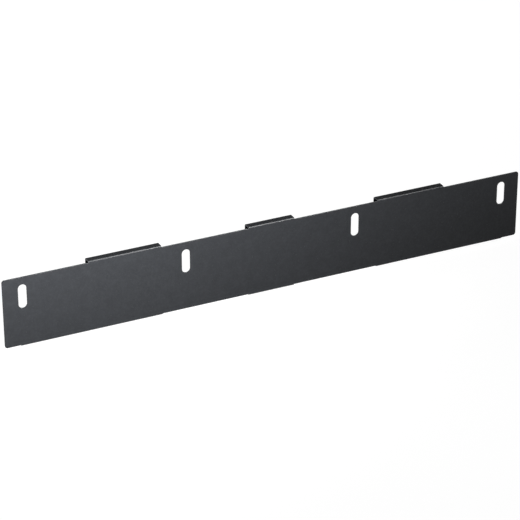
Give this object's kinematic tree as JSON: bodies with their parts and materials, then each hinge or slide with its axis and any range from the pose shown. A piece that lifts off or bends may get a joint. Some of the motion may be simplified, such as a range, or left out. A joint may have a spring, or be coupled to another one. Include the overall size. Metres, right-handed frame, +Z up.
{
  "type": "cabinet base panel",
  "caption": "Long folded steel panel that closes the gap under a server cabinet, with upright slots for its bolts, hooks along the top and flanges along the bottom.",
  "frame": {"origin": "on the rear face of the plate, midway along the panel and level with the middle of the slots", "axes": "+X along the panel to the right as seen from the front, +Y to the back, +Z up"},
  "size_m": [0.6, 0.01, 0.08],
  "materials": {
    "powder_coated_steel": "fine textured black powder coat, satin"
  },
  "bodies": {
    "root": {"base_panel": "powder_coated_steel"}
  },
  "joints": []
}
